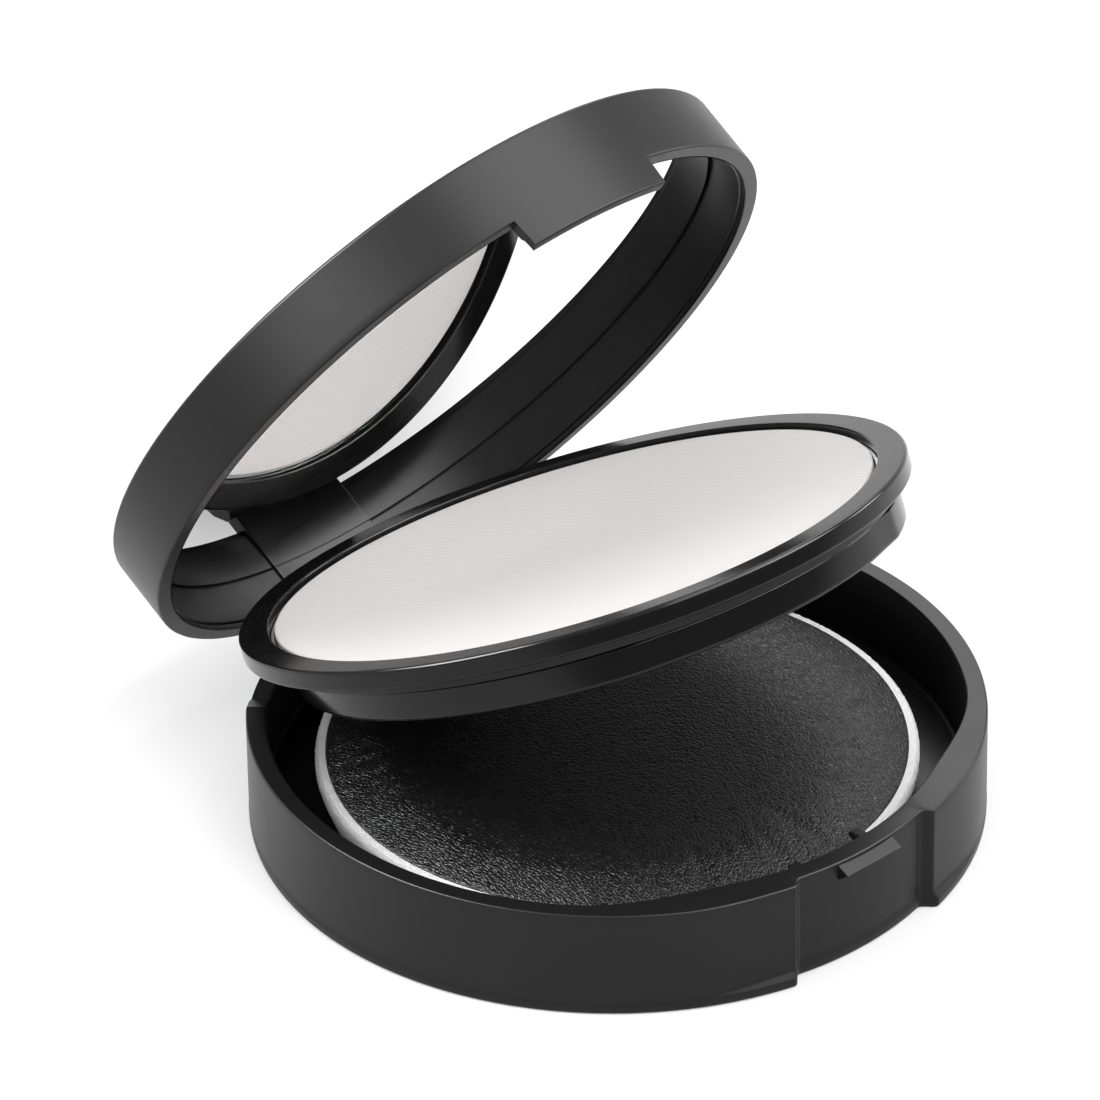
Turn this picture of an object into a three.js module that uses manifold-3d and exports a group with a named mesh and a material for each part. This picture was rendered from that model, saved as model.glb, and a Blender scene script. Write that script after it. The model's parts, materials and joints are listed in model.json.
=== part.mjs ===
// Two-deck powder compact: base with a puff well, hinged powder tray, hinged mirror lid.
// Millimetres, +Z up. Origin: centre of the base's underside. -Y is the thumb side, +Y the hinge side.
// Every piece is drawn closed and coaxial; the tray and lid groups are then swung open on the hinge pins.
import * as THREE from 'three';
import { mergeVertices } from 'three/addons/utils/BufferGeometryUtils.js';
import Module from 'manifold-3d';

const wasm = await Module();
wasm.setup();

// ---------- driving dimensions ----------
const SHELL_R = 39;            // lid outer radius
const BASE_R = 38.8;
const BASE_H = 12.1;           // base underside to its rim
const WALL = 2.05;
const FLOOR_Z = 2.8;           // floor of the puff well
const FRONT_WALL_IN = 1.85;    // the well's wall steps in this far behind the thumb recess
const RECESS_R = 37.1;         // back wall of the thumb recess
const RECESS_HALF_ANGLE = 13.6;
const REAR_RIM_Z = 9.95;       // rim height at the hinge side
const HINGE_Y = 35.5;
const HINGE_Z = 5.9;
const PIN_R = 0.8;
const PIN_CLEAR = 0.06;
const BARREL_R = 2.2;
const TONGUE_HALF = 6.9;       // half width of the lid's hinge tongue
const EAR_IN = 7.4;            // tray ears, inner and outer face
const EAR_OUT = 9.6;
const KNUCKLE_IN = 10;         // base knuckles, inner and outer face
const KNUCKLE_OUT = 13;
const GAP = 0.3;               // parting gap between pieces
const FILM = 0.05;             // gap between stacked layers
const LID_RIM_Z = BASE_H + 0.25;
const LID_TOP_Z = 20.6;
const LID_PLATE = 1.2;
const LID_RIM_IN = 37.26;      // inner radius of the lid's rim lip
const LINER_R = 37;            // inner radius of the mirror frame
const LINER_T = 0.6;
const MIRROR_T = 1.15;
const TAPE_T = 0.3;
const TAB_DROP = 3.3;          // how far the lid's front tab hangs below the rim
const TAB_IN_R = 37.6;
const TRAY_Y = -0.4;           // tray axis
const CUP_Y = -2.6;            // centre of the cup's floor, which sits forward, clear of the hinge
const CUP_TOP_Y = -1.9;
const PAN_Y = -1.6;            // centre of the pan's lower step
const FLANGE_R = 36.2;
const FLANGE_LOW = 14.4;
const FLANGE_HIGH = 16.6;
const SEAM_Z = 13.2;           // where the tray's ring and cup meet
const NECK_R = 33.9;           // below the flange
const NECK_Y = -1;
const CUP_R = 33.3;
const CUP_BOTTOM_R = 32.8;
const CUP_CLEAR = 0.25;        // between the cup and the well's front wall
const CUP_BOTTOM_Z = 9.8;
const POWDER_R = 32.6;
const POWDER_TOP = 16.15;
const PUFF_R = 31.6;
const PUFF_SEAM_Z = 7.2;       // where the leather meets the velour
const PUFF_TOP = 9.35;
const LID_OPEN = 59.9;         // degrees from closed, as displayed
const TRAY_OPEN = 22.9;
const ROUND = 96;              // sides of a large circle
const FINE_ROUND = 72;
const PUFF_SIDES = 48;
const SMALL_ROUND = 24;

const rad = THREE.MathUtils.degToRad;

// ---------- materials ----------
const plastic = (color, roughness) => new THREE.MeshStandardMaterial({ color, roughness, metalness: 0 });
const MAT = {
  shell: plastic(0x1b1b1c, 0.42),
  tray: plastic(0x111112, 0.28),
  frame: plastic(0x161617, 0.36),
  mirror: new THREE.MeshStandardMaterial({ color: 0xf2f4f5, roughness: 0.02, metalness: 1 }),
  steel: new THREE.MeshStandardMaterial({ color: 0xb8babd, roughness: 0.3, metalness: 1 }),
  aluminium: new THREE.MeshStandardMaterial({ color: 0xc9cacb, roughness: 0.35, metalness: 1 }),
  tape: plastic(0xdedcd4, 0.8),
  label: plastic(0x202021, 0.55),
  powder: plastic(0xe6dfda, 0.95),
  leather: plastic(0x101011, 0.5),
  foam: plastic(0xe9e4d8, 0.95),
  velour: plastic(0xeeecea, 0.98),
};

// ---------- solid helpers ----------
function toSolid(geometry) {
  geometry.deleteAttribute('normal');
  geometry.deleteAttribute('uv');
  const g = mergeVertices(geometry, 1e-5);
  const mesh = new wasm.Mesh({
    numProp: 3,
    vertProperties: new Float32Array(g.attributes.position.array),
    triVerts: new Uint32Array(g.index.array),
  });
  return new wasm.Manifold(mesh);
}

function toGeometry(solid) {
  const mesh = solid.getMesh();
  const g = new THREE.BufferGeometry();
  g.setAttribute('position', new THREE.BufferAttribute(new Float32Array(mesh.vertProperties), 3));
  g.setIndex(new THREE.BufferAttribute(new Uint32Array(mesh.triVerts), 1));
  g.computeVertexNormals();
  return g;
}

// Solid of revolution about +Z through (0, y); the profile lists [radius, z] and starts and ends on the
// axis or closes on itself.
function turned(profile, y = 0, sides = ROUND) {
  const points = profile.map(([r, z]) => new THREE.Vector2(r, z));
  const g = new THREE.LatheGeometry(points, sides);
  g.rotateX(Math.PI / 2);
  g.translate(0, y, 0);
  return toSolid(g);
}

const disc = (r, z0, z1, y = 0, sides = ROUND) => turned([[0, z0], [r, z0], [r, z1], [0, z1]], y, sides);

const ring = (rIn, rOut, z0, z1, y = 0) =>
  turned([[rIn, z0], [rOut, z0], [rOut, z1], [rIn, z1], [rIn, z0]], y);

// Upright prism of a plan outline given as [x, y] points.
function prism(outline, z0, z1) {
  const shape = new THREE.Shape(outline.map(([x, y]) => new THREE.Vector2(x, y)));
  const g = new THREE.ExtrudeGeometry(shape, { depth: z1 - z0, bevelEnabled: false });
  g.translate(0, 0, z0);
  return toSolid(g);
}

// Prism along X of a side outline given as [y, z] points.
function sidePrism(outline, x0, x1) {
  const shape = new THREE.Shape(outline.map(([y, z]) => new THREE.Vector2(y, z)));
  const g = new THREE.ExtrudeGeometry(shape, { depth: x1 - x0, bevelEnabled: false });
  g.applyMatrix4(new THREE.Matrix4().makeBasis(
    new THREE.Vector3(0, 1, 0), new THREE.Vector3(0, 0, 1), new THREE.Vector3(1, 0, 0)));
  g.translate(x0, 0, 0);
  return toSolid(g);
}

function box(x0, x1, y0, y1, z0, z1) {
  const g = new THREE.BoxGeometry(x1 - x0, y1 - y0, z1 - z0);
  g.translate((x0 + x1) / 2, (y0 + y1) / 2, (z0 + z1) / 2);
  return toSolid(g);
}

// Round bar along X on the hinge axis.
function hingeBar(r, x0, x1) {
  const g = new THREE.CylinderGeometry(r, r, x1 - x0, SMALL_ROUND);
  g.rotateZ(Math.PI / 2);
  g.translate((x0 + x1) / 2, HINGE_Y, HINGE_Z);
  return toSolid(g);
}

// Plan point at radius r and azimuth a degrees, 0 at the thumb side, positive towards +X.
const polar = (r, a) => [r * Math.sin(rad(a)), -r * Math.cos(rad(a))];

function arc(r, a0, a1, steps) {
  return Array.from({ length: steps + 1 }, (_, i) => polar(r, a0 + ((a1 - a0) * i) / steps));
}

// Curved block between two radii whose underside follows low(azimuth).
function arcBlock(azimuths, rIn, rOut, low, high) {
  const vertices = [];
  const faces = [];
  for (const a of azimuths) {
    const [xi, yi] = polar(rIn, a);
    const [xo, yo] = polar(rOut, a);
    vertices.push(xi, yi, low(a), xo, yo, low(a), xo, yo, high, xi, yi, high);
  }
  const quad = (a, b, c, d) => faces.push(a, b, c, a, c, d);
  for (let i = 0; i + 1 < azimuths.length; i++) {
    for (let k = 0; k < 4; k++) {
      const n = (k + 1) % 4;
      quad(4 * i + k, 4 * i + 4 + k, 4 * i + 4 + n, 4 * i + n);
    }
  }
  const last = 4 * (azimuths.length - 1);
  quad(0, 1, 2, 3);
  quad(last + 3, last + 2, last + 1, last);
  const g = new THREE.BufferGeometry();
  g.setAttribute('position', new THREE.BufferAttribute(new Float32Array(vertices), 3));
  g.setIndex(faces);
  return toSolid(g);
}

// Solid through outlines at rising heights; each level is [z, radius(azimuth)] about the main axis.
function lofted(levels, sides) {
  const vertices = [];
  const faces = [];
  for (const [z, radius] of levels) {
    for (let i = 0; i < sides; i++) vertices.push(...polar(radius((360 * i) / sides), (360 * i) / sides), z);
  }
  for (let k = 0; k + 1 < levels.length; k++) {
    for (let i = 0; i < sides; i++) {
      const j = (i + 1) % sides;
      const low = k * sides;
      faces.push(low + i, low + j, low + sides + j, low + i, low + sides + j, low + sides + i);
    }
  }
  const top = (levels.length - 1) * sides;
  for (let i = 1; i + 1 < sides; i++) faces.push(0, i + 1, i, top, top + i, top + i + 1);
  const g = new THREE.BufferGeometry();
  g.setAttribute('position', new THREE.BufferAttribute(new Float32Array(vertices), 3));
  g.setIndex(faces);
  return toSolid(g);
}

function piece(name, solid, material) {
  const mesh = new THREE.Mesh(toGeometry(solid), material);
  mesh.name = name;
  return mesh;
}

// ---------- base ----------
// Radius of the puff well at azimuth a: round, but closer in behind the thumb recess.
function wellRadius(a) {
  const away = Math.abs(((a + 540) % 360) - 180);
  const t = THREE.MathUtils.clamp((52 - away) / 27, 0, 1);
  return BASE_R - WALL - FRONT_WALL_IN * t * t * (3 - 2 * t);
}

function thumbRecess() {
  const side = 4.4;
  const [cx, cy] = polar(RECESS_R, RECESS_HALF_ANGLE);
  const outline = [
    ...arc(RECESS_R, -RECESS_HALF_ANGLE, RECESS_HALF_ANGLE, 12),
    [cx + side * 0.67, cy - side * 0.74],
    [-cx - side * 0.67, cy - side * 0.74],
  ];
  return prism(outline.reverse(), -1, BASE_H + 1);
}

// Wedge on the recess wall that the lid's tab clips over.
function catchBar() {
  const wallY = -RECESS_R + 0.6;
  return sidePrism([[wallY, 9.7], [-38.3, 11.05], [wallY, 11.95]], -3.9, 3.9);
}

// Two small brackets on the front wall that the tray's cup comes down to; each reaches over the puff's edge.
function trayRests() {
  const outline = [[-35.6, 6.6], [-32.3, 6.6], [-32.1, 8.2], [-30.6, 8.7], [-30.5, 9.1], [-30.8, 9.4], [-35.6, 9.4]];
  const right = sidePrism(outline, 3.8, 5);
  return right.add(right.mirror([1, 0, 0]));
}

function rearRimDrop() {
  const azimuths = [134, 141, 150, 160, 170, 180, 190, 200, 210, 219, 226];
  const low = (a) => (a < 135 || a > 225 ? BASE_H + 0.001 : REAR_RIM_Z);
  return arcBlock(azimuths, 30, 44, low, BASE_H + 3);
}

function baseShell() {
  let shell = turned([
    [0, 0.6], [32.6, 0.6], [32.6, 0], [BASE_R - 0.6, 0], [BASE_R, 0.6], [BASE_R, BASE_H], [0, BASE_H],
  ]);
  const well = Array.from({ length: ROUND }, (_, i) => polar(wellRadius((360 * i) / ROUND), (360 * i) / ROUND));
  shell = shell.subtract(prism(well, FLOOR_Z, BASE_H + 1));
  // the wall above the foot is set back at the front, which leaves a crescent ledge beside the recess
  shell = shell.subtract(ring(BASE_R, BASE_R + 3, 2, BASE_H + 1, 0.4));
  shell = shell.subtract(thumbRecess()).subtract(rearRimDrop());
  // opening in the back wall for the tongue and the ears, and a trench for the tongue's sweep
  shell = shell.subtract(box(-KNUCKLE_IN + 0.1, KNUCKLE_IN - 0.1, 32.5, 42, FLOOR_Z, BASE_H + 1));
  shell = shell.subtract(box(-TONGUE_HALF - GAP, TONGUE_HALF + GAP, 33, 42, 1.6, BASE_H));
  const knuckle = hingeBar(BARREL_R, KNUCKLE_IN, KNUCKLE_OUT)
    .add(box(KNUCKLE_IN, KNUCKLE_OUT, HINGE_Y - BARREL_R, HINGE_Y + 0.6, FLOOR_Z - 0.5, HINGE_Z));
  shell = shell.add(knuckle).add(knuckle.mirror([1, 0, 0]));
  shell = shell.subtract(hingeBar(PIN_R + PIN_CLEAR, -KNUCKLE_OUT - 12, KNUCKLE_OUT + 12));
  return shell.add(catchBar()).add(trayRests());
}

const hingePin = (side) => hingeBar(PIN_R, Math.min(side * 3.4, side * 12.6), Math.max(side * 3.4, side * 12.6));

// ---------- puff ----------
function puffPieces() {
  const low = FLOOR_Z + 0.1;
  const velour = turned([
    [0, low], [PUFF_R - 1.2, low], [PUFF_R - 0.2, low + 1], [PUFF_R, 5.2], [PUFF_R - 0.4, PUFF_SEAM_Z],
    [PUFF_R - 1.6, PUFF_SEAM_Z], [PUFF_R - 1.6, low + 0.9], [0, low + 0.9],
  ], 0, PUFF_SIDES);
  const foam = disc(PUFF_R - 1.9, low + 0.95, PUFF_SEAM_Z, 0, PUFF_SIDES);
  const skin = 0.8;
  const cover = turned([
    [PUFF_R - 0.6, PUFF_SEAM_Z + FILM], [PUFF_R - 1, 7.9], [PUFF_R - 2.6, 8.5], [PUFF_R - 8, 9.1], [0, PUFF_TOP],
    [0, PUFF_TOP - skin], [PUFF_R - 8, 9.1 - skin], [PUFF_R - 2.6, 8.5 - skin],
    [PUFF_R - 2, PUFF_SEAM_Z + FILM], [PUFF_R - 0.6, PUFF_SEAM_Z + FILM],
  ], 0, PUFF_SIDES);
  return [
    piece('puff_velour_face', velour, MAT.velour),
    piece('puff_foam_core', foam, MAT.foam),
    piece('puff_leather_cover', cover, MAT.leather),
  ];
}

// ---------- tray ----------
function trayRing() {
  const bore = POWDER_R + 0.5;
  const flange = turned([
    [bore, FLANGE_LOW], [FLANGE_R - 0.5, FLANGE_LOW], [FLANGE_R, FLANGE_LOW + 0.5], [FLANGE_R, FLANGE_HIGH - 0.7],
    [FLANGE_R - 0.7, FLANGE_HIGH], [bore + 0.2, FLANGE_HIGH], [bore - 0.1, FLANGE_HIGH - 0.3],
    [bore - 0.1, FLANGE_HIGH - 1.2], [bore, FLANGE_HIGH - 1.2], [bore, FLANGE_LOW],
  ], TRAY_Y, FINE_ROUND);
  const neck = disc(NECK_R, SEAM_Z, FLANGE_LOW + 0.1, NECK_Y, FINE_ROUND);
  return flange.add(neck.subtract(disc(bore, SEAM_Z - 1, FLANGE_HIGH, TRAY_Y, FINE_ROUND)));
}

function trayEar() {
  const outline = [[28.6, CUP_BOTTOM_Z], [HINGE_Y - 2, HINGE_Z - 0.3], [HINGE_Y, HINGE_Z], [HINGE_Y + 1.6, HINGE_Z + 1.2],
    [HINGE_Y + 2.4, HINGE_Z + 3.1], [HINGE_Y + 2.4, HINGE_Z + 5.3], [HINGE_Y + 1.7, HINGE_Z + 6.1], [28.6, SEAM_Z - 1.1]];
  return sidePrism(outline, EAR_IN, EAR_OUT).add(hingeBar(2, EAR_IN, EAR_OUT));
}

function trayCup() {
  const low = CUP_BOTTOM_Z;
  // a circle centred forward by offset, held back where the well narrows
  const outline = (r, offset, inset = 0) => (a) =>
    Math.min(r + offset * Math.cos(rad(a)), wellRadius(a) - CUP_CLEAR) - inset;
  const outer = lofted([
    [low, outline(CUP_BOTTOM_R, -CUP_Y, 0.5)], [low + 0.5, outline(CUP_BOTTOM_R, -CUP_Y)],
    [SEAM_Z - FILM, outline(CUP_R, -CUP_TOP_Y)],
  ], FINE_ROUND);
  const ear = trayEar();
  const hollow = disc(29.9, low + 1, SEAM_Z + 1, PAN_Y, FINE_ROUND);
  return outer.subtract(hollow).add(ear).add(ear.mirror([1, 0, 0]))
    .subtract(hollow)
    .subtract(hingeBar(PIN_R + PIN_CLEAR, -EAR_OUT - 1, EAR_OUT + 1));
}

function trayPieces() {
  const panLow = CUP_BOTTOM_Z + 1 + FILM + 0.2;
  const panR = POWDER_R + 0.35;
  const stepZ = SEAM_Z + FILM;
  const stepR = 29.5;
  const sheet = 0.35;
  const pan = disc(panR, stepZ, POWDER_TOP - 0.2, TRAY_Y, FINE_ROUND)
    .subtract(disc(panR - sheet, stepZ + sheet, POWDER_TOP, TRAY_Y, FINE_ROUND))
    .add(disc(stepR, panLow, stepZ + 0.1, PAN_Y, FINE_ROUND))
    .subtract(disc(stepR - sheet, panLow + sheet, POWDER_TOP, PAN_Y, FINE_ROUND));
  const powder = disc(POWDER_R - 0.2, stepZ + sheet + FILM, POWDER_TOP, TRAY_Y, FINE_ROUND)
    .add(disc(stepR - sheet - 0.2, panLow + sheet + FILM, stepZ + sheet + FILM + 0.1, PAN_Y, FINE_ROUND));
  return [
    piece('tray_ring', trayRing(), MAT.tray),
    piece('tray_cup', trayCup(), MAT.tray),
    piece('pan_glue', disc(24, CUP_BOTTOM_Z + 1 + FILM, panLow - FILM, PAN_Y, 48), MAT.tape),
    piece('powder_pan', pan, MAT.aluminium),
    piece('powder_cake', powder, MAT.powder),
  ];
}

// ---------- lid ----------
function frontTab() {
  const azimuths = [-13.9, -13.2, -10, -6, -2, 2, 6, 10, 13.2, 13.9];
  const low = (a) => (Math.abs(a) > 13.5 ? LID_RIM_Z : LID_RIM_Z - TAB_DROP);
  return arcBlock(azimuths, TAB_IN_R, SHELL_R, low, LID_RIM_Z + 0.5);
}

// Pocket inside the tab that drops over the base's catch bar, with a snap lip below it.
function catchPocket() {
  return box(-4.4, 4.4, -38.5, -34, 9.6, 12.25).add(box(-4.4, 4.4, -38.05, -34, 8, 9.7));
}

function lidShell() {
  let shell = turned([
    [0, LID_TOP_Z], [SHELL_R - 0.6, LID_TOP_Z], [SHELL_R, LID_TOP_Z - 0.6], [SHELL_R, LID_RIM_Z],
    [LID_RIM_IN, LID_RIM_Z], [LID_RIM_IN, LID_RIM_Z + 0.6], [LINER_R + LINER_T + GAP, LID_RIM_Z + 0.6],
    [LINER_R + LINER_T + GAP, LID_TOP_Z - LID_PLATE], [0, LID_TOP_Z - LID_PLATE],
  ].reverse());
  shell = shell.add(frontTab()).subtract(catchPocket());
  const tongueWay = box(-TONGUE_HALF - GAP, TONGUE_HALF + GAP, 33, LINER_R + LINER_T + GAP, LID_RIM_Z - 1, LID_RIM_Z + 0.7);
  return shell.subtract(tongueWay);
}

function mirrorFrame() {
  const top = LID_TOP_Z - LID_PLATE - FILM;
  const low = LID_RIM_Z + 0.6 + FILM;
  const outer = LINER_R + LINER_T;
  let frame = ring(LINER_R, outer, low, top);
  const strip = box(-TONGUE_HALF, TONGUE_HALF, 30, 42, 0, 30);
  const upper = ring(LINER_R - 0.3, outer, LID_RIM_Z - 0.3, top).intersect(strip);
  const lower = ring(LINER_R - 0.3, 38.5, HINGE_Z, LID_RIM_Z - 0.25).intersect(strip);
  frame = frame.add(upper).add(lower).add(hingeBar(BARREL_R, -TONGUE_HALF, TONGUE_HALF));
  return frame.subtract(hingeBar(PIN_R + PIN_CLEAR, -TONGUE_HALF - 1, TONGUE_HALF + 1));
}

function lidPieces() {
  const tapeTop = LID_TOP_Z - LID_PLATE - FILM;
  const glassTop = tapeTop - TAPE_T - FILM;
  return [
    piece('lid_shell', lidShell(), MAT.shell),
    piece('mirror_frame', mirrorFrame(), MAT.frame),
    piece('mirror_tape', disc(33, tapeTop - TAPE_T, tapeTop, 0, 60), MAT.tape),
    piece('mirror_glass', disc(LINER_R - 0.35, glassTop - MIRROR_T, glassTop), MAT.mirror),
  ];
}

// ---------- assembly ----------
// Group whose contents are drawn closed and swung open about the hinge pins.
function swungOpen(degrees, meshes) {
  const leaf = new THREE.Group();
  for (const mesh of meshes) {
    mesh.position.set(0, -HINGE_Y, -HINGE_Z);
    leaf.add(mesh);
  }
  leaf.position.set(0, HINGE_Y, HINGE_Z);
  leaf.rotation.x = -rad(degrees);
  return leaf;
}

const compact = new THREE.Group();
compact.name = 'powder_compact';
compact.add(piece('base_shell', baseShell(), MAT.shell));
compact.add(piece('base_label', disc(32.2, 0, 0.3, 0, 60), MAT.label));
compact.add(piece('hinge_pin_left', hingePin(-1), MAT.steel));
compact.add(piece('hinge_pin_right', hingePin(1), MAT.steel));
for (const mesh of puffPieces()) compact.add(mesh);
compact.add(swungOpen(TRAY_OPEN, trayPieces()));
compact.add(swungOpen(LID_OPEN, lidPieces()));

export default compact;
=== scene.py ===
import json
import math

import bmesh
import bpy
import numpy as np
from mathutils import Matrix, Vector


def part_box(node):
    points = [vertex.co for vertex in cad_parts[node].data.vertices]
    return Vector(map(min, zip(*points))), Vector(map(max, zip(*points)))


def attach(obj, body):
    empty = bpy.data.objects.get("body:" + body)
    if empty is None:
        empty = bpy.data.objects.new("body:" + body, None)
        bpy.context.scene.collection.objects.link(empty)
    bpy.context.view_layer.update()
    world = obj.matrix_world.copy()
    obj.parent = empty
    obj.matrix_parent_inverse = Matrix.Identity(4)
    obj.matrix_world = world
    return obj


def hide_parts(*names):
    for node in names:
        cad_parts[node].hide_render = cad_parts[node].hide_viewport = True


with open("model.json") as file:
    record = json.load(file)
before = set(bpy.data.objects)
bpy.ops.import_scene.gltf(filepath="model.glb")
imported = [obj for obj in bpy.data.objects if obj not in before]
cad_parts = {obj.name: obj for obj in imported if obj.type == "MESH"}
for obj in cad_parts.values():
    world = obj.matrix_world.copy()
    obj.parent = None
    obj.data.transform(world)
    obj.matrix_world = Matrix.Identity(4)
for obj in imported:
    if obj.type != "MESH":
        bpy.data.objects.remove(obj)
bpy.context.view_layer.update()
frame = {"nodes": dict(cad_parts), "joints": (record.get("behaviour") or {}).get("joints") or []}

# A two-deck powder compact. Lengths below are millimetres and become metres in solid(). The tray and the
# lid are drawn closed and coaxial with the base, then swung open on the hinge.
MM = 0.001

# ---------- sizes ----------
tray_hinge, lid_hinge = frame["joints"]
HINGE_Y, HINGE_Z = (value / MM for value in tray_hinge["pos_m"][1:])
TRAY_OPEN = -tray_hinge["range_deg"][0]                # degrees from closed, as both leaves stand at rest
LID_OPEN = TRAY_OPEN - lid_hinge["range_deg"][0]

base_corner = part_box("base_shell")[1] / MM
BASE_R = base_corner.x
BASE_H = base_corner.z
WELL_R = BASE_R - 2.05
WELL_NARROWS = 1.85          # the well's wall steps in by this behind the thumb recess
NARROWS_FADE = (52, 25)      # degrees from the thumb side over which it does
FLOOR_Z = 2.8
FOOT_R = 32.6                # inner edge of the foot ring
FOOT_DEPTH = 0.6
LIP_Z = 1.15                 # height of the lip round the foot
LIP_SLOPE = 0.55             # rise of the lip's slope beside the thumb recess
LIP_OUT = 0.5                # how far it stands proud of the wall there
LIP_FADE = (34, 16)          # degrees from the thumb side over which the slope fades in
RECESS_R = 37.1
RECESS_HALF_ANGLE = 13.9
RECESS_SIDE = (0.67, -0.74)  # which way the recess's sides splay, seen from above
RECESS_SOFT = 0.5            # degrees over which its corners are rounded
REAR_RIM_Z = 9.95
REAR_RAMP = (39, 46)         # degrees from the hinge where the rear rim ends and the full rim starts
NOTCH_HALF_ANGLE = 14.7
TRENCH_HALF_ANGLE = 12.4
TRENCH_R = 33.2
TRENCH_Z = 1.6
CATCH_HALF = 3.9             # half its width
CATCH_LOW_Z, CATCH_TIP_Z, CATCH_HIGH_Z = 9.7, 11.05, 11.95
CATCH_TIP_R = 38.3
REST_IN, REST_OUT = 3.8, 5.0
REST_BACK_R = 35.6
REST_LOW_Z, REST_HIGH_Z = 6.6, 9.4
RIM_EDGE = 0.22              # rounding of both shells' rims

PUFF_R = 31.6
PUFF_LOW = FLOOR_Z + 0.1
PUFF_SEAM_Z = 7.2
LEATHER_R = PUFF_R - 0.9
PUFF_CROWN = 9.3
TRAY_CLEAR_Z = 9.6           # the closed tray's floor is just above

TRAY_Y = -0.4
NECK_Y = -1.0
CUP_LOW_Y = -2.6             # the cup's floor sits forward, clear of the hinge
CUP_TOP_Y = -1.9
CUP_CLEAR = 0.25
PAN_Y = -1.6
PAN_R = 29.5
FLANGE_R = 36.2
FLANGE_LOW = 14.4
FLANGE_HIGH = 16.6
SEAM_Z = 13.2
NECK_R = 33.9
CUP_R = 33.3
CUP_LOW_R = 32.8
CUP_LOW_Z = 9.8
POWDER_R = 32.4
POWDER_TOP = 16.15
BORE_R = 33.1                # inside the flange
CUP_WALL_GAP = 0.4           # between the pan and the cup's hollow
SHEET = 0.3                  # thickness of the pan
EAR_IN, EAR_OUT = 7.4, 9.6
EAR_ROOT_Y = 28.6

LID_R = 39.0
LID_RIM_Z = 12.35
LID_TOP_Z = 20.6
LID_UNDER_Z = 19.4           # underside of the lid's plate
LIP_R = 37.26                # inner radius of the lid's rim
LIP_H = 0.6
LINER_R = 37.0
LINER_OUT = 37.6
TONGUE_OUT = 38.5
TAB_HALF_ANGLE = 13.55
TAB_Z = LID_RIM_Z - 3.3
TAB_IN_R = 37.6
POCKET_HALF_ANGLE = 6.6
POCKET_R = 38.5
POCKET_LOW_Z, POCKET_HIGH_Z = 9.6, 12.2
MIRROR_R = 36.65
MIRROR_Z = 17.85
MIRROR_T = 1.15
TONGUE_HALF = 6.9
BARREL_R = 2.2
KNUCKLE_IN, KNUCKLE_OUT = 10.0, 13.0

EVEN_POINTS = 602            # round a circle with no details
ROUND = 0.6                  # degrees between points away from a detail
FINE = 0.05                  # and at it
FINE_REACH = 0.4             # how far from it, in degrees, the points start to spread
FINE_GROWTH = 0.1
SOFT_SECTION = 0.12          # rounding of small moulded features

# the puff cover's cloth simulation
CLOTH_GROW = 10              # times life size
CLOTH_FRAMES = 20
CLOTH_REACH = 0.3            # furthest that any of it moves
SPOKES = 240

# ---------- camera and lights ----------
LENS = 285.7
CAM_AZIMUTH, CAM_ELEVATION, CAM_ROLL = -42.6, 32.31, -0.95
CAM_DISTANCE = 0.9195
AIM = Vector((4.7, 15.0, 22.5)) * MM
LIGHTS_AIM = Vector((0, 0, 20)) * MM
LIGHTS_DISTANCE = 0.8


# ---------- mesh helpers ----------
def azimuths(*details):
    """Degrees round the axis, 0 at the thumb side, positive towards +X and closer together near a detail."""
    if not details:
        return np.arange(EVEN_POINTS) * 360 / EVEN_POINTS
    half = [0.0]
    while half[-1] < 180:
        near = min(abs(half[-1] - d) for d in details)
        half.append(half[-1] + min(ROUND, FINE + max(0.0, near - FINE_REACH) * FINE_GROWTH))
    half[-1] = 180.0
    return np.array(half[:-1] + [360 - a for a in half[:0:-1]])


def away(a):
    """Degrees between azimuth a and the thumb side."""
    return np.abs((a + 540) % 360 - 180)


def smooth(low, high, x):
    t = np.clip((x - low) / (high - low), 0, 1)
    return t * t * (3 - 2 * t)


def softened(f, a, half_width=0.35, taps=9):
    """f averaged over a few degrees, which rounds its corners."""
    return sum(f(a + d) for d in np.linspace(-half_width, half_width, taps)) / taps


def fillet(r, z, back, ahead, size, steps=5):
    """Rounded corner at (r, z) of a section. back and ahead point along the legs, away from the corner."""
    points = []
    for t in np.linspace(0, math.pi / 2, steps):
        u, v = 1 - math.sin(t), 1 - math.cos(t)
        points.append((r + size * (back[0] * u + ahead[0] * v), z + size * (back[1] * u + ahead[1] * v)))
    return points


def skin(section, turns, y=0.0, closed=False, bottom=True, top=True):
    """Surface through one (radius, height) per loop, either of them a number or one value per azimuth."""
    n = len(turns)
    a = np.radians(turns)
    verts, faces = [], []
    for r, z in section:
        r, z = np.broadcast_to(r, n), np.broadcast_to(z, n)
        verts += list(zip(r * np.sin(a), y - r * np.cos(a), z))
    rings = len(section)
    for k in range(rings if closed else rings - 1):
        low, high = k * n, ((k + 1) % rings) * n
        faces += [(low + i, low + (i + 1) % n, high + (i + 1) % n, high + i) for i in range(n)]
    for wanted, start in ((bottom, 0), (top, (rings - 1) * n)):
        if wanted and not closed:
            faces.append(tuple(range(start, start + n)))
    return verts, faces


def extruded(outline, x0, x1):
    """Prism along X of a (y, z) outline."""
    n = len(outline)
    verts = [(x, y, z) for x in (x0, x1) for y, z in outline]
    faces = [tuple(range(n)), tuple(range(n, 2 * n))]
    faces += [(i, (i + 1) % n, n + (i + 1) % n, n + i) for i in range(n)]
    return verts, faces


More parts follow.
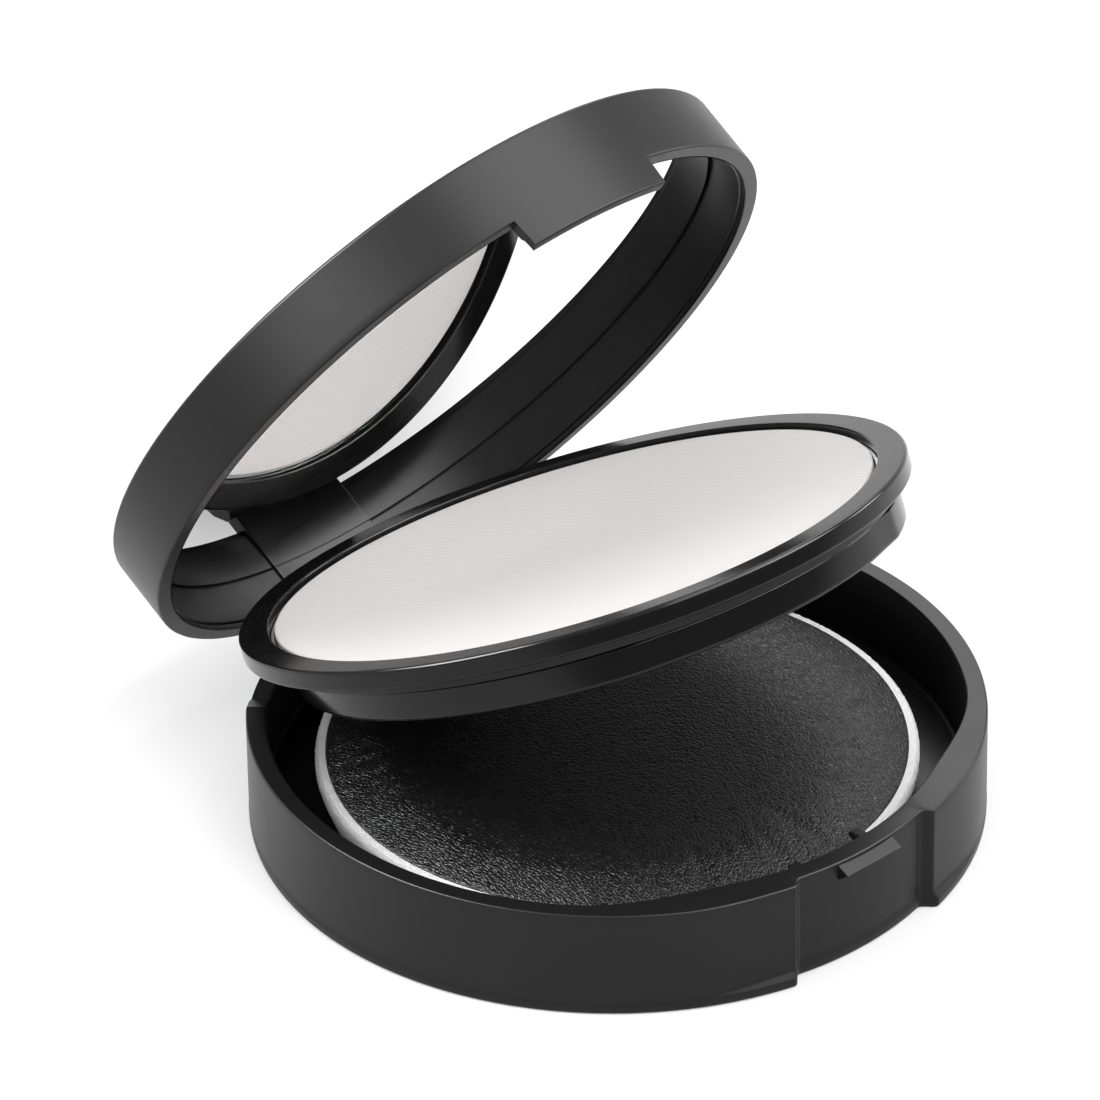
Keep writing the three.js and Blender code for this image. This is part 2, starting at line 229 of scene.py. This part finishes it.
def bevelled(part, width, steps=3, sharp=28):
    """part with the edges rounded that turn by more than sharp degrees."""
    bm = bmesh.new()
    vs = [bm.verts.new(v) for v in part[0]]
    for f in part[1]:
        bm.faces.new([vs[i] for i in f])
    bmesh.ops.recalc_face_normals(bm, faces=bm.faces)
    edges = [e for e in bm.edges if e.calc_face_angle(0) > math.radians(sharp)]
    bmesh.ops.bevel(bm, geom=edges, offset=width, segments=steps, profile=0.5, affect="EDGES",
                    clamp_overlap=True)
    bm.verts.index_update()
    out = [tuple(v.co) for v in bm.verts], [tuple(v.index for v in f.verts) for f in bm.faces]
    bm.free()
    return out


def mirrored(part):
    return [(-x, y, z) for x, y, z in part[0]], part[1]


def bar(radius, x0, x1, edge=0.2, sides=64):
    """Round bar on the hinge axis with rounded ends."""
    section = fillet(radius, x0, (-1, 0), (0, 1), edge) + fillet(radius, x1, (0, -1), (-1, 0), edge)
    turns = np.arange(sides) * 360 / sides
    verts, faces = skin(section, turns)
    return [(z, HINGE_Y + x, HINGE_Z + y) for x, y, z in verts], faces


def swing(degrees):
    """Turn about the hinge that opens a closed leaf by this angle."""
    pivot = Vector((0, HINGE_Y, HINGE_Z)) * MM
    turn = Matrix.Rotation(-math.radians(degrees), 4, "X")
    return Matrix.Translation(pivot) @ turn @ Matrix.Translation(-pivot)


PLACES = {"base": Matrix(), "tray": swing(TRAY_OPEN), "lid": swing(LID_OPEN)}


def solid(name, parts, material, body, nodes, sharp=38, weld=0.003, sliver=0.001):
    """Object made of closed parts, in place and riding on its body instead of those CAD nodes."""
    verts, faces = [], []
    for part in parts:
        start = len(verts)
        verts += [Vector(v) * MM for v in part[0]]
        faces += [tuple(start + i for i in f) for f in part[1]]
    mesh = bpy.data.meshes.new(name)
    mesh.from_pydata(verts, [], faces)
    bm = bmesh.new()
    bm.from_mesh(mesh)
    bmesh.ops.remove_doubles(bm, verts=bm.verts, dist=weld * MM)
    bmesh.ops.dissolve_degenerate(bm, edges=bm.edges, dist=sliver * MM)
    bmesh.ops.recalc_face_normals(bm, faces=bm.faces)
    bm.to_mesh(mesh)
    bm.free()
    mesh.shade_smooth()
    mesh.set_sharp_from_angle(angle=math.radians(sharp))
    mesh.materials.append(material)
    obj = bpy.data.objects.new(name, mesh)
    bpy.context.scene.collection.objects.link(obj)
    obj.matrix_world = PLACES[body]
    normals = obj.modifiers.new("normals", "WEIGHTED_NORMAL")
    normals.keep_sharp = True
    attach(obj, body)
    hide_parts(*nodes)
    return obj


# ---------- materials ----------
def blank(name, colour, roughness, specular=0.5, metallic=0.0):
    mat = bpy.data.materials.new(name)
    mat.use_nodes = True
    tree = mat.node_tree
    shader = next(n for n in tree.nodes if n.type == "BSDF_PRINCIPLED")
    shader.inputs["Base Color"].default_value = (*colour, 1)
    shader.inputs["Roughness"].default_value = roughness
    shader.inputs["Specular IOR Level"].default_value = specular
    shader.inputs["Metallic"].default_value = metallic
    return mat, tree, shader


def add(tree, kind, links=(), **values):
    """Node of that kind with its sockets set, and linked from (output, socket name) pairs."""
    node = tree.nodes.new(kind)
    for key, value in values.items():
        if key in node.inputs.keys():
            node.inputs[key].default_value = value
        else:
            setattr(node, key, value)
    for output, socket in links:
        tree.links.new(output, node.inputs[socket])
    return node


def here(tree):
    """The piece's own coordinates, in metres."""
    return add(tree, "ShaderNodeTexCoord").outputs["Object"]


def noise(tree, place, scale, detail=2.0):
    return add(tree, "ShaderNodeTexNoise", [(place, "Vector")], Scale=scale, Detail=detail).outputs["Fac"]


def combined(tree, operation, first, second):
    return add(tree, "ShaderNodeMath", [(first, 0), (second, 1)], operation=operation).outputs[0]


def ranged(tree, source, limits=(0, 1), results=(0, 1), **settings):
    """source mapped from limits to results."""
    node = add(tree, "ShaderNodeMapRange", [(source, "Value")], **settings)
    for socket, value in zip(("From Min", "From Max", "To Min", "To Max"), (*limits, *results)):
        node.inputs[socket].default_value = value
    return node.outputs["Result"]


def vary(tree, shader, socket, source, low, high):
    """source, from 0 to 1, drives a shader value between low and high."""
    tree.links.new(ranged(tree, source, results=(low, high)), shader.inputs[socket])


def tinted(tree, shader, source, dark, light):
    """source, from 0 to 1, drives the colour between dark and light."""
    tint = add(tree, "ShaderNodeMix", [(source, "Factor")], data_type="RGBA")
    tint.inputs["A"].default_value = (*dark, 1)
    tint.inputs["B"].default_value = (*light, 1)
    tree.links.new(tint.outputs["Result"], shader.inputs["Base Color"])


def emboss(tree, shader, height, depth_mm, strength=1.0):
    bump = add(tree, "ShaderNodeBump", [(height, "Height")], Strength=strength, Distance=depth_mm * MM)
    tree.links.new(bump.outputs["Normal"], shader.inputs["Normal"])


def plastic(name, colour, roughness, grain_mm=0.25, depth_mm=0.0006, specular=0.5):
    """Moulded plastic: faint unevenness in its gloss and a fine spark-eroded grain."""
    mat, tree, shader = blank(name, colour, roughness, specular)
    place = here(tree)
    uneven = 0.035
    vary(tree, shader, "Roughness", noise(tree, place, 90.0, 3.0), roughness - uneven, roughness + uneven)
    emboss(tree, shader, noise(tree, place, 1 / (grain_mm * MM)), depth_mm)
    return mat


def powder():
    """Pressed powder with the weave of the pressing cloth in it."""
    mat, tree, shader = blank("powder", (0.66, 0.63, 0.61), 0.95, 0.1)
    place = here(tree)
    threads = [add(tree, "ShaderNodeTexWave", [(place, "Vector")], wave_type="BANDS",
                   bands_direction=direction, Scale=820.0, Distortion=0.0).outputs["Fac"]
               for direction in ("X", "Y")]
    weave = combined(tree, "MULTIPLY", *threads)
    specks = noise(tree, place, 9000.0)
    emboss(tree, shader, combined(tree, "ADD", weave, specks), 0.02, 0.6)
    tinted(tree, shader, weave, (0.57, 0.545, 0.53), (0.71, 0.685, 0.67))
    return mat


def pebbles(tree, place, scale, height):
    """Rounded cells with creases between them."""
    crease = 0.22
    cells = add(tree, "ShaderNodeTexVoronoi", [(place, "Vector")], feature="DISTANCE_TO_EDGE", Scale=scale)
    return ranged(tree, cells.outputs["Distance"], (0, crease), (0, height), interpolation_type="SMOOTHSTEP")


def leather():
    """Black coated leather: two sizes of pebble drawn out one way, and an uneven sheen."""
    mat, tree, shader = blank("leather", (0.004, 0.004, 0.004), 0.35, 0.26)
    place = here(tree)
    drawn = add(tree, "ShaderNodeMapping", [(place, "Vector")], Rotation=(0, 0, math.radians(28)),
                Scale=(1.0, 0.6, 1.0)).outputs[0]
    relief = combined(tree, "ADD", pebbles(tree, drawn, 2900.0, 1.0), pebbles(tree, drawn, 1400.0, 0.7))
    emboss(tree, shader, relief, 0.034)
    vary(tree, shader, "Roughness", noise(tree, place, 400.0, 3.0), 0.28, 0.44)
    return mat


def velour():
    """Short white pile."""
    mat, tree, shader = blank("velour", (0.86, 0.855, 0.85), 0.95, 0.1)
    shader.inputs["Sheen Weight"].default_value = 0.4
    place = here(tree)
    pile = noise(tree, place, 5200.0, 4.0)
    emboss(tree, shader, pile, 0.12)
    tinted(tree, shader, pile, (0.74, 0.735, 0.73), (0.93, 0.925, 0.92))
    return mat


def metal(name, colour, roughness, streak):
    """Metal with fine lines along the axis for which streak is small."""
    mat, tree, shader = blank(name, colour, roughness, 0.5, 1.0)
    place = here(tree)
    stretched = add(tree, "ShaderNodeMapping", [(place, "Vector")], Scale=streak).outputs[0]
    lines = noise(tree, stretched, 4000.0)
    vary(tree, shader, "Roughness", lines, roughness - 0.06, roughness + 0.06)
    emboss(tree, shader, lines, 0.002)
    return mat


def silvering():
    """Silvered glass with the faintest unevenness of gloss."""
    mat, tree, shader = blank("mirror", (0.97, 0.97, 0.968), 0.008, 0.5, 1.0)
    vary(tree, shader, "Roughness", noise(tree, here(tree), 40.0), 0.004, 0.012)
    return mat


def dull(name, colour, grain):
    """Tape or film."""
    mat, tree, shader = blank(name, colour, 0.8, 0.3)
    fibres = noise(tree, here(tree), grain, 4.0)
    vary(tree, shader, "Roughness", fibres, 0.7, 0.9)
    emboss(tree, shader, fibres, 0.004)
    return mat


SHELL = plastic("shell_plastic", (0.006, 0.006, 0.0062), 0.36, specular=0.2)
GLOSS = plastic("tray_plastic", (0.004, 0.004, 0.0042), 0.14, depth_mm=0.00002, specular=0.22)
FRAME = plastic("frame_plastic", (0.006, 0.006, 0.0062), 0.34, specular=0.2)
POWDER = powder()
LEATHER = leather()
VELOUR = velour()
STEEL = metal("pin_steel", (0.6, 0.61, 0.62), 0.3, (0.05, 1, 1))
ALUMINIUM = metal("pan_aluminium", (0.75, 0.75, 0.76), 0.34, (1, 0.05, 1))
MIRROR = silvering()
TAPE = dull("adhesive", (0.72, 0.7, 0.66), 3000.0)
LABEL = dull("label_film", (0.02, 0.02, 0.021), 5000.0)


# ---------- base ----------
def recess_radius(a):
    """Radius of the thumb recess's walls: a round back and two sides that splay outwards."""
    t = np.radians(away(a))
    corner = math.radians(RECESS_HALF_ANGLE)
    px, py = RECESS_R * math.sin(corner), -RECESS_R * math.cos(corner)
    dx, dy = RECESS_SIDE
    across = np.sin(t) * dy + np.cos(t) * dx
    side = (px * dy - py * dx) / np.maximum(across, 0.05)          # 0.05 keeps it finite round the back
    return np.where(t <= corner, RECESS_R, np.maximum(side, RECESS_R))


def lip(a):
    """1 beside the thumb recess, fading to 0 round the side."""
    return smooth(*LIP_FADE, away(a))


def side_radius(a, inset):
    """Radius of the base's outside, drawn in by inset where the lip is."""
    return np.minimum(BASE_R - inset * lip(a), softened(recess_radius, a, RECESS_SOFT))


def well_radius(a):
    return WELL_R - WELL_NARROWS * smooth(*NARROWS_FADE, away(a))


def rim_height(a):
    """Full height at the front, lower across the back, and open to the floor at the hinge."""
    rear = 180 - away(a)
    height = np.interp(rear, REAR_RAMP, (REAR_RIM_Z, BASE_H))
    height = np.where(rear < NOTCH_HALF_ANGLE, FLOOR_Z, height)
    return np.where(rear < TRENCH_HALF_ANGLE, TRENCH_Z, height)


def base_bowl():
    turns = azimuths(RECESS_HALF_ANGLE, 180 - REAR_RAMP[0], 180 - REAR_RAMP[1], 180 - NOTCH_HALF_ANGLE,
                     180 - TRENCH_HALF_ANGLE)
    foot_inset = 0.05
    foot = softened(lambda a: side_radius(a, foot_inset), turns)
    wall = softened(lambda a: side_radius(a, foot_inset + LIP_OUT), turns)
    well = well_radius(turns)
    rim = softened(rim_height, turns, 0.12)
    trench = np.where(180 - away(turns) < TRENCH_HALF_ANGLE, TRENCH_Z, FLOOR_Z)
    slope = LIP_Z + LIP_SLOPE * lip(turns)
    room = np.clip((rim - FLOOR_Z - 0.1) / 2, 0, 1)       # none where the wall is cut down to the floor
    section = [(FOOT_R, FOOT_DEPTH), (FOOT_R, 0.2), (FOOT_R + 0.2, 0)]
    section += fillet(foot, 0, (-1, 0), (0, 1), 0.4)
    section += [(foot, LIP_Z - 0.1), (foot - 0.01, LIP_Z), (foot - 0.03, LIP_Z + 0.04)]
    section += [(wall + 0.03, slope + 0.02), (wall + 0.01, slope + 0.06), (wall, slope + 0.1)]
    section += [(wall, LIP_Z + LIP_SLOPE + 0.4), (wall, BASE_H - 1.2)]
    section += fillet(wall, rim, (0, -1), (-1, 0), RIM_EDGE, 7)
    section += fillet(well, rim, (1, 0), (0, -1), RIM_EDGE * room, 6)
    section += fillet(well, trench, (0, 1), (-1, 0), 0.5 * room, 6)
    section = [(r, np.minimum(z, rim)) for r, z in section]
    section += [(TRENCH_R + 0.1, trench), (TRENCH_R, FLOOR_Z), (TRENCH_R - 3, FLOOR_Z)]
    return skin(section, turns)


def catch():
    """Wedge across the thumb recess that the lid's tab snaps over."""
    back = -RECESS_R + 0.6
    outline = [(back, CATCH_LOW_Z), (-CATCH_TIP_R, CATCH_TIP_Z), (back, CATCH_HIGH_Z)]
    return bevelled(extruded(outline, -CATCH_HALF, CATCH_HALF), SOFT_SECTION)


def rest():
    """Rib on the well's wall with a short nose, one of a pair behind the catch."""
    outline = [(-REST_BACK_R, REST_LOW_Z), (-32.3, REST_LOW_Z), (-32.1, 8.2), (-30.6, 8.7), (-30.5, 9.1),
               (-30.8, REST_HIGH_Z), (-REST_BACK_R, REST_HIGH_Z)]
    return bevelled(extruded(outline, REST_IN, REST_OUT), SOFT_SECTION)


def knuckle():
    """Bearing of one hinge pin and the block that it stands on."""
    front, back, foot = HINGE_Y - BARREL_R, HINGE_Y + 0.6, FLOOR_Z - 0.5
    outline = [(front, foot), (back, foot), (back, HINGE_Z), (front, HINGE_Z)]
    block = bevelled(extruded(outline, KNUCKLE_IN, KNUCKLE_OUT), 0.2)
    return [block, bar(BARREL_R, KNUCKLE_IN, KNUCKLE_OUT)]


base_pairs = [rest(), *knuckle()]
solid("base_bowl", [base_bowl(), catch(), *base_pairs, *map(mirrored, base_pairs)], SHELL, "base",
      ["base_shell"])


# ---------- tray ----------
def flange():
    section = fillet(BORE_R, FLANGE_LOW, (0, 1), (1, 0), 0.05, 2)
    section += fillet(FLANGE_R, FLANGE_LOW, (-1, 0), (0, 1), 0.35, 7)
    section += fillet(FLANGE_R, FLANGE_HIGH, (0, -1), (-1, 0), 0.4, 8)
    section += fillet(BORE_R - 0.1, FLANGE_HIGH, (1, 0), (0, -1), 0.18, 5)
    section += [(BORE_R - 0.1, FLANGE_HIGH - 1.2), (BORE_R, FLANGE_HIGH - 1.2)]
    return skin(section, azimuths(), TRAY_Y, closed=True)


def offset_circle(r, y, a):
    """Radius about the main axis of a circle centred at y, held back where the well narrows."""
    return np.minimum(r - y * np.cos(np.radians(a)), well_radius(a) - CUP_CLEAR)


def neck():
    turns = azimuths()
    bore = BORE_R - 0.05 - TRAY_Y * np.cos(np.radians(turns))
    outer = NECK_R - NECK_Y * np.cos(np.radians(turns))
    section = [(bore, SEAM_Z)] + fillet(outer, SEAM_Z, (-1, 0), (0, 1), 0.1, 4)
    section += fillet(outer, FLANGE_LOW + 0.02, (0, -1), (1, 0), 0.3, 5) + [(bore, FLANGE_LOW + 0.02)]
    return skin(section, turns, closed=True)


def cup():
    turns = azimuths()
    top = SEAM_Z - 0.05
    low_r, top_r = offset_circle(CUP_LOW_R, CUP_LOW_Y, turns), offset_circle(CUP_R, CUP_TOP_Y, turns)
    hollow = PAN_R + CUP_WALL_GAP - PAN_Y * np.cos(np.radians(turns))
    section = fillet(low_r, CUP_LOW_Z, (-1, 0), (0, 1), 0.55, 7)
    section += fillet(top_r, top, (0, -1), (-1, 0), 0.15, 4)
    section += [(hollow, top), (hollow, CUP_LOW_Z + 1)]
    return skin(section, turns)


def ear():
    """Arm from the cup's back down to its bearing on one hinge pin."""
    from_hinge = [(-2, -0.3), (0, 0), (1.6, 1.2), (2.4, 3.1), (2.4, 5.3), (1.7, 6.1)]
    outline = [(EAR_ROOT_Y, CUP_LOW_Z)] + [(HINGE_Y + y, HINGE_Z + z) for y, z in from_hinge]
    outline += [(EAR_ROOT_Y, SEAM_Z - 1.1)]
    return [bevelled(extruded(outline, EAR_IN, EAR_OUT), 0.25), bar(2.0, EAR_IN, EAR_OUT)]


ears = ear()
solid("tray_flange", [flange(), neck()], GLOSS, "tray", ["tray_ring"])
solid("tray_bowl", [cup(), *ears, *map(mirrored, ears)], GLOSS, "tray", ["tray_cup"])


def cake():
    """Pressed powder that fills the pan and spreads over its brim."""
    step, low_r = SEAM_Z + 0.45, PAN_R - 1.7
    section = [(low_r, CUP_LOW_Z + 1.7), (low_r, step), (POWDER_R, step)]
    section += fillet(POWDER_R, POWDER_TOP, (0, -1), (-1, 0), 0.2)
    section += [(radius, POWDER_TOP) for radius in (31.5, 29, 24, 16, 8)]
    return skin(section, azimuths(), TRAY_Y)


def pan():
    """Dish of thin sheet with a brim that lies on the cup."""
    low, step, rim = CUP_LOW_Z + 1.25, SEAM_Z + 0.05, POWDER_TOP - 0.7
    middle, dish, brim = 0.5, PAN_R - 1.2, BORE_R - 0.2
    section = [(middle, low), (dish, low), (dish, step), (brim, step), (brim, rim), (brim - SHEET, rim)]
    section += [(brim - SHEET, step + SHEET), (dish - SHEET, step + SHEET), (dish - SHEET, low + SHEET)]
    section += [(middle, low + SHEET)]
    return skin(section, azimuths(), TRAY_Y, closed=True)


solid("powder", [cake()], POWDER, "tray", ["powder_cake"])
solid("pan", [pan()], ALUMINIUM, "tray", ["powder_pan"])


# ---------- lid ----------
def in_tab(a):
    return away(a) < TAB_HALF_ANGLE


def lid_edge(a):
    """Height of the lid's lower edge, which drops at the front tab."""
    return np.where(in_tab(a), TAB_Z, LID_RIM_Z)


def lid_bowl():
    """Plate and skirt, with the front tab's inner pocket for the catch."""
    turns = azimuths(TAB_HALF_ANGLE)
    edge = softened(lid_edge, turns, 0.16)
    inner = np.where(in_tab(turns), TAB_IN_R, LIP_R)
    pocket = away(turns) < POCKET_HALF_ANGLE
    section = [(30.0, LID_TOP_Z)]
    section += fillet(LID_R, LID_TOP_Z, (-1, 0), (0, -1), 0.45, 8)
    section += [(LID_R, LID_RIM_Z + 1.0)]
    section += fillet(LID_R, edge, (0, 1), (-1, 0), RIM_EDGE, 6)
    section += fillet(inner, edge, (1, 0), (0, 1), RIM_EDGE, 6)
    steps = ((TAB_IN_R, POCKET_LOW_Z - 0.05), (POCKET_R, POCKET_LOW_Z), (POCKET_R, POCKET_HIGH_Z))
    section += [(np.where(pocket, r, inner), z) for r, z in steps]
    section += [(inner, LID_RIM_Z + 0.05), (LIP_R, LID_RIM_Z + 0.12), (LIP_R, LID_RIM_Z + LIP_H)]
    section += [(LINER_OUT + 0.3, LID_RIM_Z + LIP_H), (LINER_OUT + 0.3, LID_UNDER_Z), (30.0, LID_UNDER_Z)]
    section = [(r, np.maximum(z, edge)) for r, z in section]
    return skin(section, turns)


def liner():
    turns = azimuths()
    low, high = LID_RIM_Z + LIP_H + 0.05, LID_UNDER_Z - 0.05
    section = fillet(LINER_R, low, (0, 1), (1, 0), 0.15) + fillet(LINER_OUT, low, (-1, 0), (0, 1), 0.15)
    section += [(LINER_OUT, high), (LINER_R, high)]
    return skin(section, turns, closed=True)


def tongue():
    """Slab that follows the lid's wall down to the hinge, drawn as side sections from left to right."""
    stations = np.linspace(-TONGUE_HALF, TONGUE_HALF, 41)
    inner, below_rim, top = LINER_R - 0.3, LID_RIM_Z - 0.25, LID_UNDER_Z - 0.05
    corners = [(inner, HINGE_Z), (TONGUE_OUT, HINGE_Z), (TONGUE_OUT, below_rim), (LINER_OUT, below_rim),
               (LINER_OUT, top), (inner, top)]
    n = len(corners)
    verts = [(x, math.sqrt(r * r - x * x), z) for x in stations for r, z in corners]
    faces = [tuple(range(n)), tuple(range(len(verts) - n, len(verts)))]
    for start in range(0, len(verts) - n, n):
        ahead = start + n
        faces += [(start + i, start + (i + 1) % n, ahead + (i + 1) % n, ahead + i) for i in range(n)]
    return bevelled((verts, faces), 0.15)


def glass():
    turns = azimuths()
    section = [(30.0, MIRROR_Z)] + fillet(MIRROR_R, MIRROR_Z, (-1, 0), (0, 1), 0.12)
    section += [(MIRROR_R, MIRROR_Z + MIRROR_T)]
    return skin(section, turns)


solid("lid_bowl", [lid_bowl()], SHELL, "lid", ["lid_shell"])
solid("mirror_liner", [liner(), tongue(), bar(BARREL_R, -TONGUE_HALF, TONGUE_HALF)], FRAME, "lid",
      ["mirror_frame"])
solid("mirror", [glass()], MIRROR, "lid", ["mirror_glass"])


# ---------- puff ----------
def velour_pad():
    """Pile disc with a soft edge, a little wider near the seam than at the floor."""
    turns = azimuths()
    a = np.radians(turns)
    tuft = 0.035 * (np.sin(173 * a + 2 * np.sin(31 * a)) + np.sin(287 * a + 1.3 * np.sin(53 * a)))
    section = [(20.0, PUFF_LOW)] + fillet(PUFF_R - 0.55, PUFF_LOW, (-1, 0), (0, 1), 1.4, 8)
    section += [(PUFF_R - 0.25 + tuft * 0.5, 4.9), (PUFF_R + tuft, 5.7), (PUFF_R + 0.1 + tuft, 6.3),
                (PUFF_R + 0.1 - tuft, 6.8), (PUFF_R + tuft, 7.15), (PUFF_R - 0.25 + tuft, PUFF_SEAM_Z + 0.18),
                (PUFF_R - 0.8, PUFF_SEAM_Z + 0.2), (PUFF_R - 3, PUFF_SEAM_Z)]
    return skin(section, turns)


def leather_height(r):
    """The cover's resting shape: a low crown that rolls down over the last few millimetres to the seam."""
    t = np.clip(r / LEATHER_R, 0, 1)
    crown = PUFF_CROWN - 0.75 * t ** 2
    return PUFF_SEAM_Z + 0.12 + (crown - PUFF_SEAM_Z - 0.12) * (1 - t ** 9) ** 0.5


def cloth_settings(obj, seam):
    """Loose cloth held along its seam and blown up from below."""
    cloth = obj.modifiers.new("cloth", "CLOTH")
    cloth.point_cache.frame_start, cloth.point_cache.frame_end = 1, CLOTH_FRAMES
    settings = cloth.settings
    settings.quality = 8
    settings.mass = 0.15
    settings.tension_stiffness = settings.compression_stiffness = 20
    settings.shear_stiffness = 8
    settings.bending_stiffness = 0.3
    settings.shrink_min = -0.006
    settings.vertex_group_mass = seam.name
    settings.use_pressure = True
    settings.uniform_pressure_force = 4
    settings.effector_weights.gravity = 0


def inflated(verts, faces):
    """Where the cover's skin settles: cloth slightly too large for its seam, which gathers along the edge."""
    start = np.array(verts, dtype=float)
    grow = CLOTH_GROW * MM
    mesh = bpy.data.meshes.new("puff_sim")
    mesh.from_pydata([tuple(v) for v in start * grow], [], faces)
    obj = bpy.data.objects.new("puff_sim", mesh)
    scene = bpy.context.scene
    scene.collection.objects.link(obj)
    seam = obj.vertex_groups.new(name="seam")
    seam.add(list(range(2 * SPOKES)), 1.0, "REPLACE")
    cloth_settings(obj, seam)
    scene.frame_start, scene.frame_end = 1, CLOTH_FRAMES
    for number in range(1, CLOTH_FRAMES + 1):
        scene.frame_set(number)
    evaluated = obj.evaluated_get(bpy.context.evaluated_depsgraph_get())
    moved = np.array([tuple(v.co) for v in evaluated.data.vertices]) / grow - start
    scene.frame_set(1)
    bpy.data.objects.remove(obj)
    bpy.data.meshes.remove(mesh)
    length = np.linalg.norm(moved, axis=1, keepdims=True)
    return start + moved * np.minimum(1, CLOTH_REACH / np.maximum(length, 1e-9))


def leather_top():
    """The cover: rings that close up towards the seam, settled as cloth, and a flat underside."""
    turns = np.arange(SPOKES) * 360 / SPOKES
    radii = list(LEATHER_R - np.array([0, 0.12, 0.35, 0.7, 1.1, 1.6, 2.2, 2.9, 3.7, 4.6, 5.6, 6.7]))
    radii += list(np.linspace(LEATHER_R - 8, 1.5, 18))
    verts, faces = skin([(r, leather_height(r)) for r in radii], turns, bottom=False)
    shaped = inflated(verts, faces)
    shaped[:, 2] = np.minimum(shaped[:, 2], TRAY_CLEAR_Z)
    underside = [(LEATHER_R - inset, PUFF_SEAM_Z + 0.05) for inset in (1.2, 6)]
    low_verts, low_faces = skin(underside, turns, top=False)
    start = len(verts)
    faces += [tuple(start + i for i in f) for f in low_faces]
    faces += [(i, (i + 1) % SPOKES, start + (i + 1) % SPOKES, start + i) for i in range(SPOKES)]
    return [tuple(v) for v in shaped] + low_verts, faces


pad = solid("puff_pad", [velour_pad()], VELOUR, "base", ["puff_velour_face", "puff_foam_core"])
cover = solid("puff_cover", [leather_top()], LEATHER, "base", ["puff_leather_cover"], sharp=80)
cover.modifiers.remove(cover.modifiers["normals"])
finer = cover.modifiers.new("finer", "SUBSURF")
finer.levels = finer.render_levels = 1


# ---------- carried-over CAD pieces ----------
def recoloured(node, material):
    obj = frame["nodes"][node]
    obj.data.materials.clear()
    obj.data.materials.append(material)


recoloured("base_label", LABEL)
recoloured("hinge_pin_left", STEEL)
recoloured("hinge_pin_right", STEEL)
recoloured("pan_glue", TAPE)
recoloured("mirror_tape", TAPE)


# ---------- floor, lights and camera ----------
def floor():
    half = 3.0               # metres
    mesh = bpy.data.meshes.new("floor")
    corners = [(-half, -half, 0), (half, -half, 0), (half, half, 0), (-half, half, 0)]
    mesh.from_pydata(corners, [], [(0, 1, 2, 3)])
    mat, tree, shader = blank("floor_white", (0.62, 0.62, 0.62), 0.9, 0.0)
    shader.inputs["Emission Color"].default_value = (1, 1, 1, 1)
    shader.inputs["Emission Strength"].default_value = 0.2
    mesh.materials.append(mat)
    obj = bpy.data.objects.new("floor", mesh)
    bpy.context.scene.collection.objects.link(obj)


def direction(azimuth, elevation):
    """Unit vector at that azimuth and elevation in degrees, azimuth 0 being the thumb side."""
    a, e = math.radians(azimuth), math.radians(elevation)
    return Vector((math.sin(a) * math.cos(e), -math.cos(a) * math.cos(e), math.sin(e)))


def softbox(name, azimuth, elevation, width, height, radiance, glints=True):
    """Panel facing the object. It either shows in glossy surfaces only or lights matt ones only."""
    out = direction(azimuth, elevation)
    data = bpy.data.lights.new(name, "AREA")
    data.shape = "RECTANGLE"
    data.size, data.size_y = width, height
    data.energy = radiance * math.pi * width * height
    obj = bpy.data.objects.new(name, data)
    obj.location = LIGHTS_AIM + out * LIGHTS_DISTANCE
    obj.rotation_euler = out.to_track_quat("Z", "Y").to_euler()
    obj.visible_diffuse = not glints
    obj.visible_glossy = glints
    bpy.context.scene.collection.objects.link(obj)


def camera():
    roll = math.radians(CAM_ROLL)
    back = direction(CAM_AZIMUTH, CAM_ELEVATION)
    level = Vector((0, 0, 1)).cross(back).normalized()
    upright = back.cross(level)
    right = level * math.cos(roll) + upright * math.sin(roll)
    up = back.cross(right)
    data = bpy.data.cameras.new("camera")
    data.lens = LENS
    data.clip_start, data.clip_end = 0.05, 20
    obj = bpy.data.objects.new("camera", data)
    facing = Matrix((right, up, back)).transposed().to_4x4()
    obj.matrix_world = Matrix.Translation(AIM + back * CAM_DISTANCE) @ facing
    bpy.context.scene.collection.objects.link(obj)
    bpy.context.scene.camera = obj


def surroundings(bright, dark):
    """White all round, but dim low down in front, where a studio's black flag would stand."""
    world = bpy.data.worlds.new("studio")
    world.use_nodes = True
    tree = world.node_tree
    background = next(n for n in tree.nodes if n.type == "BACKGROUND")
    background.inputs["Color"].default_value = (1, 1, 1, 1)
    outward = add(tree, "ShaderNodeTexCoord").outputs["Generated"]
    height = add(tree, "ShaderNodeSeparateXYZ", [(outward, "Vector")]).outputs["Z"]
    ahead = add(tree, "ShaderNodeVectorMath", [(outward, 0)], operation="DOT_PRODUCT")
    ahead.inputs[1].default_value = (0.2, -0.98, 0)
    low = ranged(tree, height, (0.1, 0.6), (1, 0), interpolation_type="SMOOTHSTEP")
    front = ranged(tree, ahead.outputs["Value"], (0.2, 0.65), interpolation_type="SMOOTHSTEP")
    strength = ranged(tree, combined(tree, "MULTIPLY", low, front), results=(bright, dark))
    tree.links.new(strength, background.inputs["Strength"])
    bpy.context.scene.world = world


floor()
camera()
surroundings(1.0, 0.25)
softbox("overhead", 62, 68, 0.55, 0.55, 7)
softbox("front", 6, 41, 0.5, 0.18, 16)
softbox("left", -128, 46, 0.44, 0.44, 38)
softbox("right", 45, 35, 0.45, 0.36, 15)
softbox("right_low", 76, 16, 0.3, 0.18, 14)
softbox("behind", 137, 34, 0.5, 0.3, 4.5)
softbox("fill_front", 5, 50, 0.7, 0.7, 4.2, glints=False)
softbox("fill_left", -140, 36, 0.7, 0.7, 3, glints=False)
bpy.context.scene.view_settings.view_transform = "Standard"
